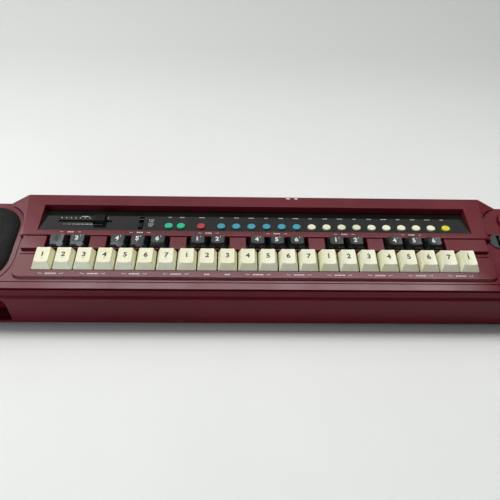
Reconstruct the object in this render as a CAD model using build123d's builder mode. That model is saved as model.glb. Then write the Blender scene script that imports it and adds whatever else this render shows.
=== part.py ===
"""Electronic number-key harp: a desk instrument with two rows of caps, a button panel, a speaker
at the left end and a strumming bar at the right end.

X runs along the keyboard, +Y points to the back and +Z up. The feet stand on Z = 0 and the origin
is the middle of the footprint. All sizes are in millimetres.
"""

import math
import os

from build123d import *

os.makedirs("parts", exist_ok=True)

# ---------------------------------------------------------------- driving dimensions
BODY_LENGTH = 640.0
BODY_DEPTH = 111.0
CASE_CORNER = 18.0
FOOT_HEIGHT = 4.0
SEAM_Z = 47.5
WALL = 2.4
SEAM_GAP = 0.3
CLEARANCE = 0.4

# The key bed is tilted up to the back. Places on it are (x, v, w): v along the slope from the
# front edge of the light keys, w above the bed surface.
TILT = math.atan(0.2)
BED_FRONT_Y = -33.9
BED_FRONT_Z = 55.5
DECK_W = -2.75
STEP_W = 4.0
CONSOLE_W = 2.8
BED_HALF_LENGTH = 226.0
BED_FRONT_V = -7.8
BED_BACK_V = 58.0
BED_DRAFT = 25.0
BED_CORNER = 7.0
STEP_HALF_LENGTH = 223.5
STEP_FRONT_V = 22.0
STEP_BACK_V = 36.4
CONSOLE_FRONT_V = 38.2
CONSOLE_BACK_V = 91.0
CONSOLE_BACK_X = 232.0
CONSOLE_FRONT_X = 226.8
FLANK_FOOT = (250.0, 83.5)

UPPER_FRONT_Y = -51.55
UPPER_BACK_Y = 55.0
UPPER_HALF_LENGTH = 318.6

KEY_PITCH = 19.05
LIGHT_KEY_COUNT = 22
KEY_WIDTH = 17.85
STEM_X = 5.0
STEM_V = 7.0
CHASSIS_TOP_W = -6.0
CHASSIS_THICKNESS = 1.8
CHASSIS_V = 16.9
CHASSIS_DEPTH = 41.8
CHASSIS_LENGTH = 442.0
CHASSIS_RIM = 2.0
CHASSIS_LEG = (3.0, 40.0)
STEM_END_W = -10.0
PAD_TOP_W = -13.4
PAD_SHEET = (426.0, 38.0, 0.8)
KEY_BOARD_TOP_W = -15.4
KEY_BOARD = (432.0, 43.0)
KEY_BOARD_V = 18.0
BOARD_THICKNESS = 1.6
LIGHT_STEM_V = 11.0
DARK_STEM_V = 30.8
# Scale steps with a dark key after them, counted from 0 in each run of seven light keys.
STEPS_WITH_DARK = (0, 1, 3, 4, 5)

PANEL_Z = 66.6
PANEL_THICKNESS = 2.0
RECESS_HALF_LENGTH = 213.4
RECESS_FRONT_Y = 9.7
RECESS_BACK_Y = 41.8
BUTTON_Y = 17.2
BUTTON_RADIUS = 4.1
BUTTON_PITCH = 15.0
FIRST_BLUE_X = -35.5
BUTTON_RISE = 1.6
BUTTON_TRAVEL = 1.0
BUTTON_FLANGE = 1.0
MAIN_BOARD_Z = 53.0
MAIN_BOARD = (424.0, 28.0)
MAIN_BOARD_Y = 30.0
MAIN_BOARD_POSTS = [(-207, 30), (-20, 30), (18, 44), (207, 30)]
BUTTON_BODY_HEIGHT = 3.0
CONTROL_BODY_HEIGHT = 3.6
CONTROL_STEM_GAP = 0.6
CHIP_XS = (-10.0, 60.0, 130.0)

VOLUME_Y = 24.4
VOLUME_SLOT = (-197.0, -144.2)
VOLUME_KNOB_X = -156.2
SWITCH_X = -115.2
SWITCH_SLOT_Y = (13.6, 31.8)
SWITCH_KNOB_LENGTH = 7.0

GRILLE_X = -272.8
GRILLE_V = 32.0
GRILLE_WIDTH = 78.6
GRILLE_DEPTH = 89.6
GRILLE_CORNER = 27.0
GRILLE_RISE = 7.0
RIM_WIDTH = 5.0
RIM_RISE = 0.7

BOSS_X = 258.0
BOSS_V = 53.4
BOSS_RADIUS = 29.5
KNOB_V = 65.6
KNOB_RADIUS = 10.4
PAD_X = (231.5, 306.0)
PAD_V = (30.6, 48.0)
BAR_X = (239.6, 300.2)
BAR_V = (33.6, 45.2)
BAR_AXIS_W = -5.0
BAR_PIN_RADIUS = 1.5

JACK_BAY_X = (-302.0, -232.8)
JACK_BAY_DEPTH = 23.0
JACK_BAY_TOP_Z = 40.0
JACK_BAY_CORNER = 11.0
JACK_LEDGE = (5.0, 13.0)
JACK_XS = (-287.0, -267.0, -247.0)
JACK_Z = 31.0
JACK_BORE_RADIUS = 1.8

BATTERY_X = (40.0, 150.0)
BATTERY_HALF_DEPTH = 29.0
BATTERY_TOP_Z = 34.0
FLOOR_TOP_Z = 7.0
DOOR_Z = (5.1, 6.9)
DOOR_OVERLAP = 3.0
DOOR_TRAVEL = 10.0
DOOR_RAIL_TOP_Z = 9.4

SCREW_POINTS = [(x, y) for x in (-306.0, 306.0) for y in (-38.0, 41.0)]
SCREW_POINTS += [(x, y) for x in (-100.0, 100.0) for y in (-45.0, 48.5)]
POST_RADIUS = 3.2
SCREW_RADIUS = 1.45
SCREW_HEAD_RADIUS = 3.0
SCREW_HEAD_THICKNESS = 2.0
SCREW_SEAT_DEPTH = 6.0
PILOT_DEPTH = 2.0


# ---------------------------------------------------------------- shared geometry
def bed_point(x, v, w):
    """Model point of a place on the tilted bed."""
    y = BED_FRONT_Y + v * math.cos(TILT) - w * math.sin(TILT)
    z = BED_FRONT_Z + v * math.sin(TILT) + w * math.cos(TILT)
    return Vector(x, y, z)


def bed_plane(w=0.0, x=0.0, v=0.0):
    """Plane parallel to the bed; its own X and Y are the bed's x and v, counted from (x, v)."""
    normal = (0, -math.sin(TILT), math.cos(TILT))
    return Plane(origin=bed_point(x, v, w), x_dir=(1, 0, 0), z_dir=normal)


# Direction square to the bed, for sorting edges and faces by their height above it.
BED_NORMAL = Axis((0, 0, 0), bed_plane().z_dir)


def save(part, name):
    """Label one finished piece and write it out."""
    part.label = name
    export_step(part, f"parts/{name}.step")


def span(limits):
    """Length and middle of a pair of limits."""
    return limits[1] - limits[0], (limits[0] + limits[1]) / 2


def light_key_x(index):
    return (index - (LIGHT_KEY_COUNT - 1) / 2) * KEY_PITCH


def dark_key_groups():
    """X centres of the dark keys, in their groups of two and three."""
    groups = [[]]
    for index in range(LIGHT_KEY_COUNT - 1):
        if index % 7 in STEPS_WITH_DARK:
            groups[-1].append(light_key_x(index) + KEY_PITCH / 2)
        elif groups[-1]:
            groups.append([])
    return [group for group in groups if group]


DARK_GROUPS = dark_key_groups()
DARK_XS = [x for group in DARK_GROUPS for x in group]


def flank_plane(side, inset=0.0):
    """Sloping end face of the console at the left (-1) or right (+1), moved inwards by inset."""
    front = bed_point(side * CONSOLE_FRONT_X, CONSOLE_FRONT_V, CONSOLE_W)
    back = bed_point(side * CONSOLE_BACK_X, CONSOLE_BACK_V, CONSOLE_W)
    foot = bed_point(side * FLANK_FOOT[0], FLANK_FOOT[1], DECK_W)
    outward = (back - front).cross(foot - front) * side * -1
    plane = Plane(origin=front, x_dir=back - front, z_dir=outward)
    return plane.offset(-inset)


def corner_plane(side, inset=0.0):
    """Upright plane that trims the back of a sloping end, from the console's back to its foot."""
    foot_y = bed_point(0, FLANK_FOOT[1], DECK_W).Y
    along = Vector(side * (FLANK_FOOT[0] - CONSOLE_BACK_X - 1), foot_y - UPPER_BACK_Y, 0)
    plane = Plane(
        origin=(side * (CONSOLE_BACK_X + 1), UPPER_BACK_Y, 0),
        x_dir=along,
        z_dir=(-side * along.Y, side * along.X, 0),
    )
    return plane.offset(-inset)


def console_block(inset=0.0):
    """Raised console behind the keys, or the hollow inside it when inset is the wall."""
    with BuildPart() as block:
        with BuildSketch(bed_plane(CONSOLE_W - inset)):
            with Locations((0, CONSOLE_FRONT_V + inset + 40)):
                Rectangle(560, 80)
        extrude(amount=-14 + inset)
        back_wall = Plane(origin=(0, UPPER_BACK_Y - inset, 0), x_dir=(1, 0, 0), z_dir=(0, 1, 0))
        split(bisect_by=back_wall, keep=Keep.BOTTOM)
        for side in (-1, 1):
            split(bisect_by=flank_plane(side, inset), keep=Keep.BOTTOM)
            split(bisect_by=corner_plane(side, inset), keep=Keep.BOTTOM)
        if inset == 0.0:
            top = block.faces().sort_by(Axis.Z)[-1]
            fillet(top.edges().sort_by(Axis.Y)[0:3], radius=1.6)
    return block.part


def deck_block(inset=0.0):
    """Wedge of the upper case under the sloping deck, or the hollow inside it."""
    with BuildPart() as block:
        with BuildSketch(Plane.XY.offset(SEAM_Z)):
            with Locations((0, (UPPER_FRONT_Y + UPPER_BACK_Y) / 2)):
                RectangleRounded(
                    2 * (UPPER_HALF_LENGTH - inset),
                    UPPER_BACK_Y - UPPER_FRONT_Y - 2 * inset,
                    CASE_CORNER - 2 - inset,
                )
        extrude(amount=40)
        split(bisect_by=bed_plane(DECK_W - inset), keep=Keep.BOTTOM)
        edge = bed_point(0, FLANK_FOOT[1], DECK_W) - Vector(0, inset, inset)
        bevel = Plane(origin=edge, x_dir=(1, 0, 0), z_dir=(0, 1, 1))
        split(bisect_by=bevel, keep=Keep.BOTTOM)
        if inset == 0.0:
            deck = block.faces().sort_by(Axis.Z, reverse=True).sort_by(SortBy.AREA)[-1]
            fillet(deck.edges(), radius=1.2)
    return block.part


def end_outlines(margin):
    """Sketch of the speaker rim, the round boss and the strum pad, grown by margin."""
    pad_length, pad_x = span(PAD_X)
    pad_depth, pad_v = span(PAD_V)
    with BuildSketch(bed_plane(DECK_W)) as outlines:
        with Locations((GRILLE_X, GRILLE_V)):
            RectangleRounded(
                GRILLE_WIDTH + 2 * (RIM_WIDTH + margin),
                GRILLE_DEPTH + 2 * (RIM_WIDTH + margin),
                GRILLE_CORNER + RIM_WIDTH + margin,
            )
        with Locations((BOSS_X, BOSS_V)):
            Circle(BOSS_RADIUS + 0.4 + margin)
        with Locations((pad_x, pad_v)):
            RectangleRounded(
                pad_length + 0.6 + 2 * margin, pad_depth + 0.6 + 2 * margin, 8.8 + margin
            )
    return outlines.sketch


def bed_block():
    """Raised bed of the keys: drafted sides, rounded front corners and a softened edge."""
    flare = (1 - DECK_W) * math.tan(math.radians(BED_DRAFT))
    with BuildPart() as block:
        with BuildSketch(bed_plane(DECK_W - 1)):
            with Locations((0, (BED_FRONT_V + BED_BACK_V) / 2)):
                RectangleRounded(
                    2 * (BED_HALF_LENGTH + flare),
                    BED_BACK_V - BED_FRONT_V + 2 * flare,
                    BED_CORNER + flare,
                )
        extrude(amount=1 - DECK_W, taper=BED_DRAFT)
        fillet(block.edges().group_by(BED_NORMAL)[-1], radius=0.8)
    return block.part


def recess_skirt():
    """Walls that hang from the edge of the console's opening down to the control panel."""
    with BuildPart() as skirt:
        add(console_block())
        with BuildSketch(Plane.XY.offset(PANEL_Z + 0.1)):
            with Locations((0, (RECESS_FRONT_Y + RECESS_BACK_Y) / 2)):
                Rectangle(2 * (RECESS_HALF_LENGTH + 2), RECESS_BACK_Y - RECESS_FRONT_Y + 4)
                Rectangle(
                    2 * RECESS_HALF_LENGTH,
                    RECESS_BACK_Y - RECESS_FRONT_Y,
                    mode=Mode.SUBTRACT,
                )
        extrude(amount=30, mode=Mode.INTERSECT)
    return skirt.part


# ---------------------------------------------------------------- upper case
deck = deck_block()
deck_hollow = deck_block(WALL)
console = console_block()
skirt = recess_skirt()

# The hollow stops short of the ends that are cut away for the rim and the boss.
with BuildPart() as console_hollow:
    add(console_block(WALL))
    add(end_outlines(WALL))
    extrude(amount=20, mode=Mode.SUBTRACT)

with BuildPart() as screw_posts:
    add(deck)
    add(console)
    with BuildSketch(Plane.XY.offset(SEAM_Z)):
        with Locations(*SCREW_POINTS):
            Circle(POST_RADIUS)
    extrude(amount=40, mode=Mode.INTERSECT)

with BuildPart() as upper_case:
    add(deck)
    add(console)

    # The speaker rim and the round boss cut into the console's sloping ends.
    add(end_outlines(0))
    extrude(amount=20, mode=Mode.SUBTRACT)

    # Key bed with a low ledge in front of the step rail.
    add(bed_block())
    with BuildSketch(bed_plane()):
        with Locations((0, (STEP_FRONT_V + STEP_BACK_V) / 2)):
            Rectangle(2 * STEP_HALF_LENGTH, STEP_BACK_V - STEP_FRONT_V)
    extrude(amount=STEP_W)
    with BuildSketch(bed_plane()):
        with Locations((0, STEP_FRONT_V - 2)):
            Rectangle(2 * STEP_HALF_LENGTH, 4)
    extrude(amount=0.8)

    # Raised rim round the grille and round boss at the other end, cut off behind the strum pad.
    with BuildSketch(bed_plane(DECK_W - 1)):
        with Locations((GRILLE_X, GRILLE_V)):
            RectangleRounded(
                GRILLE_WIDTH + 2 * RIM_WIDTH - 0.8,
                GRILLE_DEPTH + 2 * RIM_WIDTH - 0.8,
                GRILLE_CORNER + RIM_WIDTH - 0.4,
            )
            RectangleRounded(
                GRILLE_WIDTH + 0.6, GRILLE_DEPTH + 0.6, GRILLE_CORNER + 0.3, mode=Mode.SUBTRACT
            )
        with Locations((BOSS_X, BOSS_V)):
            Circle(BOSS_RADIUS)
        with Locations((BOSS_X, PAD_V[1] - 30)):
            Rectangle(4 * BOSS_RADIUS, 60, mode=Mode.SUBTRACT)
    extrude(amount=1 + RIM_RISE)

    # Hollow inside.
    add(deck_hollow, mode=Mode.SUBTRACT)
    add(console_hollow.part, mode=Mode.SUBTRACT)
    with BuildSketch(bed_plane(-WALL)):
        with Locations((0, (BED_FRONT_V + CONSOLE_FRONT_V + 3) / 2)):
            Rectangle(
                2 * (BED_HALF_LENGTH - WALL), CONSOLE_FRONT_V + 3 - BED_FRONT_V - 2 * WALL
            )
    extrude(amount=-8, mode=Mode.SUBTRACT)

    # Control panel opening with its skirt.
    with BuildSketch(Plane.XY.offset(SEAM_Z)):
        with Locations((0, (RECESS_FRONT_Y + RECESS_BACK_Y) / 2)):
            Rectangle(2 * RECESS_HALF_LENGTH, RECESS_BACK_Y - RECESS_FRONT_Y)
    extrude(amount=60, mode=Mode.SUBTRACT)
    add(skirt)

    # Slot for the light keys and one well for each group of dark keys.
    with BuildSketch(bed_plane(10)):
        with Locations((0, STEP_FRONT_V / 2 - 0.35)):
            Rectangle(LIGHT_KEY_COUNT * KEY_PITCH - 0.3, STEP_FRONT_V + 0.1)
        for group in DARK_GROUPS:
            with Locations(((group[0] + group[-1]) / 2, (STEP_FRONT_V + CONSOLE_FRONT_V) / 2 + 0.3)):
                Rectangle(group[-1] - group[0] + 22.6, CONSOLE_FRONT_V - STEP_FRONT_V - 1.0)
    extrude(amount=-18, mode=Mode.SUBTRACT)

    # Openings under the grille, the strum pad and the knob.
    with BuildSketch(bed_plane(10)):
        with Locations((GRILLE_X, GRILLE_V)):
            RectangleRounded(GRILLE_WIDTH - 6, GRILLE_DEPTH - 6, GRILLE_CORNER - 3)
        with Locations((span(PAD_X)[1], span(PAD_V)[1])):
            RectangleRounded(span(PAD_X)[0] - 6, span(PAD_V)[0] - 2, 5)
        with Locations((BOSS_X, KNOB_V)):
            Circle(4.2)
    extrude(amount=-20, mode=Mode.SUBTRACT)
    with BuildSketch(bed_plane(DECK_W + RIM_RISE)):
        with Locations((BOSS_X, KNOB_V)):
            Circle(KNOB_RADIUS + 0.7)
    extrude(amount=-1.2, mode=Mode.SUBTRACT)

    # Screw posts with pilot holes reach down to the seam.
    add(screw_posts.part)
    with BuildSketch(Plane.XY.offset(SEAM_Z)):
        with Locations(*SCREW_POINTS):
            Circle(SCREW_RADIUS + 0.02)
    extrude(amount=PILOT_DEPTH, mode=Mode.SUBTRACT)

    # Shallow line along the front of the deck.
    with BuildSketch(bed_plane(DECK_W)):
        with Locations((0, -11.7)):
            Rectangle(2 * UPPER_HALF_LENGTH - 20, 0.9)
    extrude(amount=-0.7, mode=Mode.SUBTRACT)
save(upper_case.part, "upper_case")

# ---------------------------------------------------------------- lower case
BAND_Z = (36.4, 38.8)
LIP_INSET = 2.7


def case_outline(z, inset):
    """Sketch of the lower case's outline at height z, inset from the widest part."""
    with BuildSketch(Plane.XY.offset(z)) as outline:
        RectangleRounded(
            BODY_LENGTH - 2 * inset, BODY_DEPTH - 2 * inset, CASE_CORNER - inset
        )
    return outline.sketch


with BuildPart() as lower_case:
    # Foot to band, band, chamfered shoulder and lip, from the floor up.
    add(case_outline(FOOT_HEIGHT, 2.2))
    add(case_outline(BAND_Z[0] - 1.0, 0.9))
    loft()
    add(case_outline(BAND_Z[0] - 1.0, 0.9))
    add(case_outline(BAND_Z[0], 0))
    loft()
    add(case_outline(BAND_Z[0], 0))
    extrude(amount=BAND_Z[1] - BAND_Z[0])
    add(case_outline(BAND_Z[1], 0))
    add(case_outline(BAND_Z[1] + 2.0, LIP_INSET - 0.4))
    loft()
    add(case_outline(BAND_Z[1] + 2.0, LIP_INSET - 0.4))
    add(case_outline(SEAM_Z - SEAM_GAP, LIP_INSET))
    loft()

    # Hollow above the floor.
    add(case_outline(FLOOR_TOP_Z, LIP_INSET + WALL))
    extrude(amount=60, mode=Mode.SUBTRACT)

    # Jack bay in the front wall: a walled pocket, then the pocket cut out of it.
    bay_length, bay_x = span(JACK_BAY_X)
    with BuildSketch(Plane.XY.offset(FOOT_HEIGHT)):
        with Locations((bay_x, -BODY_DEPTH / 2 + (JACK_BAY_DEPTH + WALL + 8) / 2)):
            Rectangle(bay_length + 2 * WALL, JACK_BAY_DEPTH + WALL - 8)
    extrude(amount=JACK_BAY_TOP_Z + WALL - FOOT_HEIGHT - 1.2)
    with BuildSketch(Plane.XZ.offset(BODY_DEPTH / 2 + 1)):
        with Locations((bay_x, (JACK_BAY_TOP_Z + FLOOR_TOP_Z) / 2)):
            RectangleRounded(bay_length, JACK_BAY_TOP_Z - FLOOR_TOP_Z, JACK_BAY_CORNER)
        with Locations((bay_x, FLOOR_TOP_Z + JACK_BAY_CORNER / 2)):
            RectangleRounded(bay_length, JACK_BAY_CORNER, 3)
    extrude(amount=-JACK_BAY_DEPTH - 1, mode=Mode.SUBTRACT)
    with BuildSketch(Plane.XY.offset(FLOOR_TOP_Z)):
        with Locations((bay_x, -BODY_DEPTH / 2 + JACK_BAY_DEPTH - JACK_LEDGE[0] / 2)):
            Rectangle(bay_length, JACK_LEDGE[0])
    extrude(amount=JACK_LEDGE[1])
    for jack_x in JACK_XS:
        with BuildSketch(Plane.XZ.offset(BODY_DEPTH / 2 - JACK_BAY_DEPTH)):
            with Locations((jack_x, JACK_Z)):
                Circle(3.1)
        extrude(amount=-WALL - 1, mode=Mode.SUBTRACT)

    # Battery bay: a thick floor with a walled box, open below, and rails for the door.
    battery_length, battery_x = span(BATTERY_X)
    pocket_length = battery_length + DOOR_TRAVEL + 2 * DOOR_OVERLAP + 1
    pocket_x = battery_x + (DOOR_TRAVEL + 1) / 2
    with BuildSketch(Plane.XY.offset(FOOT_HEIGHT)):
        with Locations((battery_x, 0)):
            Rectangle(battery_length + 2 * WALL, 2 * (BATTERY_HALF_DEPTH + WALL))
    extrude(amount=BATTERY_TOP_Z + WALL - FOOT_HEIGHT)
    with BuildSketch(Plane.XY.offset(FOOT_HEIGHT)):
        with Locations((battery_x + 7, 0)):
            Rectangle(battery_length + 30, 2 * BATTERY_HALF_DEPTH + 16)
    extrude(amount=DOOR_RAIL_TOP_Z - FOOT_HEIGHT)
    with BuildSketch(Plane.XY.offset(FOOT_HEIGHT)):
        with Locations((battery_x, 0)):
            Rectangle(battery_length, 2 * BATTERY_HALF_DEPTH)
    extrude(amount=BATTERY_TOP_Z - FOOT_HEIGHT, mode=Mode.SUBTRACT)
    with BuildSketch(Plane.XY.offset(DOOR_Z[0] - CLEARANCE)):
        with Locations((pocket_x, 0)):
            Rectangle(pocket_length, 2 * (BATTERY_HALF_DEPTH + DOOR_OVERLAP + CLEARANCE))
    extrude(amount=DOOR_Z[1] - DOOR_Z[0] + 2 * CLEARANCE, mode=Mode.SUBTRACT)
    with BuildSketch(Plane.XY.offset(FOOT_HEIGHT)):
        with Locations((pocket_x, 0)):
            Rectangle(pocket_length, 2 * BATTERY_HALF_DEPTH)
    extrude(amount=DOOR_Z[0] - FOOT_HEIGHT, mode=Mode.SUBTRACT)

    # Posts for the case screws and the main board, with counterbores from below.
    with BuildSketch(Plane.XY.offset(FLOOR_TOP_Z - 1)):
        with Locations(*SCREW_POINTS):
            Circle(POST_RADIUS + 1.4)
    extrude(amount=SEAM_Z - FLOOR_TOP_Z + 1)
    with BuildSketch(Plane.XY.offset(FLOOR_TOP_Z - 1)):
        with Locations(*MAIN_BOARD_POSTS):
            Circle(3)
    extrude(amount=MAIN_BOARD_Z - BOARD_THICKNESS - FLOOR_TOP_Z + 1)
    with BuildSketch(Plane.XY.offset(FOOT_HEIGHT)):
        with Locations(*SCREW_POINTS):
            Circle(SCREW_RADIUS + 0.25)
    extrude(amount=SEAM_Z, mode=Mode.SUBTRACT)
    with BuildSketch(Plane.XY.offset(FOOT_HEIGHT)):
        with Locations(*SCREW_POINTS):
            Circle(SCREW_HEAD_RADIUS + 0.3)
    extrude(amount=SCREW_SEAT_DEPTH, mode=Mode.SUBTRACT)
save(lower_case.part, "lower_case")

with BuildPart() as case_screws:
    seat_z = FOOT_HEIGHT + SCREW_SEAT_DEPTH
    with BuildSketch(Plane.XY.offset(seat_z - SCREW_HEAD_THICKNESS)):
        with Locations(*SCREW_POINTS):
            Circle(SCREW_HEAD_RADIUS)
    extrude(amount=SCREW_HEAD_THICKNESS)
    with BuildSketch(Plane.XY.offset(seat_z)):
        with Locations(*SCREW_POINTS):
            Circle(SCREW_RADIUS)
    extrude(amount=SEAM_Z + PILOT_DEPTH - seat_z)
    with BuildSketch(Plane.XY.offset(seat_z - SCREW_HEAD_THICKNESS)):
        with Locations(*SCREW_POINTS):
            Rectangle(3.6, 0.8)
            Rectangle(0.8, 3.6)
    extrude(amount=1.2, mode=Mode.SUBTRACT)
save(case_screws.part, "case_screws")

FEET = [(x, y) for x in (-285.0, 285.0) for y in (-38.0, 38.0)]
FEET += [(-60.0, -38.0), (-60.0, 38.0)]
with BuildPart() as rubber_feet:
    with BuildSketch():
        with Locations(*FEET):
            Circle(7)
    extrude(amount=FOOT_HEIGHT, taper=-4)
    fillet(rubber_feet.faces().filter_by(Axis.Z).group_by(Axis.Z)[0].edges(), radius=0.8)
save(rubber_feet.part, "rubber_feet")

with BuildPart() as battery_door:
    door_length = battery_length + 2 * DOOR_OVERLAP
    door_width = 2 * (BATTERY_HALF_DEPTH + DOOR_OVERLAP)
    with BuildSketch(Plane.XY.offset(DOOR_Z[0])):
        with Locations((battery_x, 0)):
            Rectangle(door_length, door_width)
    extrude(amount=DOOR_Z[1] - DOOR_Z[0])
    with BuildSketch(Plane.XY.offset(DOOR_Z[0])):
        with Locations((battery_x, 0)):
            Rectangle(battery_length, 2 * BATTERY_HALF_DEPTH - 1)
    extrude(amount=-0.7)
    for rib in range(5):
        with BuildSketch(Plane.XY.offset(DOOR_Z[0] - 0.7)):
            with Locations((battery_x + battery_length / 2 - 8 - rib * 3, 0)):
                SlotOverall(24, 1.2, rotation=90)
        extrude(amount=0.5, mode=Mode.SUBTRACT)
save(battery_door.part, "battery_door")

# ---------------------------------------------------------------- control panel and controls
GREEN_XS = (-87.3, -75.3)
RED_XS = (-55.4,)
BLUE_XS = [FIRST_BLUE_X + BUTTON_PITCH * i for i in range(6)]
CREAM_XS = [FIRST_BLUE_X + BUTTON_PITCH * i for i in range(6, 15)]
YELLOW_XS = [FIRST_BLUE_X + BUTTON_PITCH * 15]
BUTTONS = {
    "green_buttons": GREEN_XS,
    "red_button": RED_XS,
    "blue_buttons": BLUE_XS,
    "cream_buttons": CREAM_XS,
    "yellow_button": YELLOW_XS,
}

CONTROL_STEM_Z = MAIN_BOARD_Z + CONTROL_BODY_HEIGHT + CONTROL_STEM_GAP

slot_length, slot_x = span(VOLUME_SLOT)
switch_length, switch_y = span(SWITCH_SLOT_Y)
with BuildPart() as control_panel:
    with BuildSketch(Plane.XY.offset(PANEL_Z - PANEL_THICKNESS)):
        with Locations((0, (RECESS_FRONT_Y + RECESS_BACK_Y) / 2)):
            Rectangle(2 * RECESS_HALF_LENGTH - 0.2, RECESS_BACK_Y - RECESS_FRONT_Y - 0.2)
        with Locations((0, RECESS_BACK_Y)):
            Rectangle(2 * RECESS_HALF_LENGTH + 4, 6)
        for xs in BUTTONS.values():
            for x in xs:
                with Locations((x, BUTTON_Y)):
                    Circle(BUTTON_RADIUS + CLEARANCE, mode=Mode.SUBTRACT)
        with Locations((slot_x, VOLUME_Y)):
            Rectangle(slot_length, 2.6, mode=Mode.SUBTRACT)
        with Locations((SWITCH_X, switch_y)):
            Rectangle(4.8, switch_length, mode=Mode.SUBTRACT)
    extrude(amount=PANEL_THICKNESS)
save(control_panel.part, "control_panel")

for name, xs in BUTTONS.items():
    with BuildPart() as buttons:
        flange_top = PANEL_Z - PANEL_THICKNESS - CLEARANCE
        flange_foot = flange_top - BUTTON_FLANGE
        stem_foot = MAIN_BOARD_Z + BUTTON_BODY_HEIGHT + CLEARANCE + BUTTON_TRAVEL
        with BuildSketch(Plane.XY.offset(flange_foot)):
            with Locations(*[(x, BUTTON_Y) for x in xs]):
                Circle(BUTTON_RADIUS + 1.0)
        extrude(amount=BUTTON_FLANGE)
        with BuildSketch(Plane.XY.offset(flange_top)):
            with Locations(*[(x, BUTTON_Y) for x in xs]):
                Circle(BUTTON_RADIUS)
        extrude(amount=PANEL_Z + BUTTON_RISE - flange_top)
        fillet(buttons.faces().filter_by(Axis.Z).group_by(Axis.Z)[-1].edges(), radius=0.9)
        with BuildSketch(Plane.XY.offset(flange_foot)):
            with Locations(*[(x, BUTTON_Y) for x in xs]):
                Circle(1.6)
        extrude(amount=stem_foot - flange_foot)
    save(buttons.part, name)

with BuildPart() as volume_slider:
    with BuildSketch(Plane.XY.offset(PANEL_Z + 0.5)):
        with Locations((VOLUME_KNOB_X, VOLUME_Y)):
            Rectangle(12.4, 10.5)
    extrude(amount=4.6, taper=8)
    fillet(volume_slider.edges().filter_by(GeomType.LINE).group_by(Axis.Z)[-1], radius=0.7)
    for offset in (-3, -1.5, 0, 1.5, 3):
        with BuildSketch(Plane.XY.offset(PANEL_Z + 5.1)):
            with Locations((VOLUME_KNOB_X + offset, VOLUME_Y)):
                Rectangle(0.6, 6.5)
        extrude(amount=-0.5, mode=Mode.SUBTRACT)
    with BuildSketch(Plane.XY.offset(PANEL_Z + 0.5)):
        with Locations((VOLUME_KNOB_X, VOLUME_Y)):
            Rectangle(5, 1.8)
    extrude(amount=CONTROL_STEM_Z - PANEL_Z - 0.5)
save(volume_slider.part, "volume_slider")

with BuildPart() as power_switch:
    switch_rest_y = SWITCH_SLOT_Y[0] + SWITCH_KNOB_LENGTH / 2 + 0.4
    with BuildSketch(Plane.XY.offset(CONTROL_STEM_Z)):
        with Locations((SWITCH_X, switch_rest_y)):
            Rectangle(4.0, SWITCH_KNOB_LENGTH)
    extrude(amount=PANEL_Z + 1.6 - CONTROL_STEM_Z)
    fillet(power_switch.faces().sort_by(Axis.Z)[-1].edges(), radius=0.5)
save(power_switch.part, "power_switch")

# ---------------------------------------------------------------- boards inside
with BuildPart() as circuit_board:
    with BuildSketch(Plane.XY.offset(MAIN_BOARD_Z - BOARD_THICKNESS)):
        with Locations((0, MAIN_BOARD_Y)):
            Rectangle(*MAIN_BOARD)
    extrude(amount=BOARD_THICKNESS)
    for xs in BUTTONS.values():
        for x in xs:
            with BuildSketch(Plane.XY.offset(MAIN_BOARD_Z)):
                with Locations((x, BUTTON_Y + 0.6)):
                    Rectangle(6.2, 3.2)
            extrude(amount=BUTTON_BODY_HEIGHT)
    with BuildSketch(Plane.XY.offset(MAIN_BOARD_Z)):
        with Locations((slot_x, VOLUME_Y)):
            Rectangle(slot_length + 8, 9)
        with Locations((SWITCH_X, switch_y)):
            Rectangle(8, switch_length + 4)
        with Locations(*[(x, MAIN_BOARD_Y + 6) for x in CHIP_XS]):
            Rectangle(24, 9)
    extrude(amount=CONTROL_BODY_HEIGHT)
    with BuildSketch(bed_plane(KEY_BOARD_TOP_W)):
        with Locations((0, KEY_BOARD_V)):
            Rectangle(*KEY_BOARD)
    extrude(amount=-BOARD_THICKNESS)
save(circuit_board.part, "circuit_board")

STEMS = [(light_key_x(i), LIGHT_STEM_V) for i in range(LIGHT_KEY_COUNT)]
STEMS += [(x, DARK_STEM_V) for x in DARK_XS]
with BuildPart() as rubber_domes:
    with BuildSketch(bed_plane(KEY_BOARD_TOP_W)):
        with Locations((0, KEY_BOARD_V)):
            Rectangle(PAD_SHEET[0], PAD_SHEET[1])
    extrude(amount=PAD_SHEET[2])
    with BuildSketch(bed_plane(KEY_BOARD_TOP_W + PAD_SHEET[2])):
        with Locations(*STEMS):
            Circle(4)
    extrude(amount=PAD_TOP_W - KEY_BOARD_TOP_W - PAD_SHEET[2], taper=20)
save(rubber_domes.part, "rubber_domes")

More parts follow.
